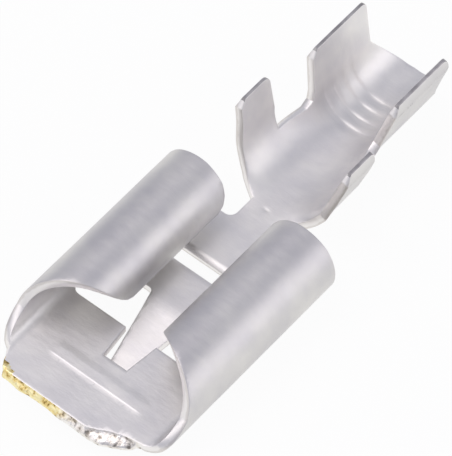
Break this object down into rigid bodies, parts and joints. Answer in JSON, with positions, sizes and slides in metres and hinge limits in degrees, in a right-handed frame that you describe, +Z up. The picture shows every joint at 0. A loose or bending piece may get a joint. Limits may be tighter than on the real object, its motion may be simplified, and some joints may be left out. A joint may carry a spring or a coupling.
{
  "type": "female spade terminal",
  "caption": "Female spade terminal for a 6.3 x 0.8 mm tab: two rolls over a flat floor with a locking lance, and an open crimp barrel, stamped from tinned brass.",
  "frame": {"origin": "on the underside of the floor, at the middle of its front edge at the mouth", "axes": "X runs across the mouth, from the left roll to the right roll as seen from the mouth; Y runs from the mouth to the wire end; Z points up, out of the open side of the crimp barrel"},
  "size_m": [0.0076, 0.0193, 0.0042],
  "materials": {
    "tinned_brass": "matt tin plating over stamped brass strip, bare brass on the torn edge at the mouth"
  },
  "bodies": {
    "root": {"terminal": "tinned_brass"}
  },
  "joints": []
}
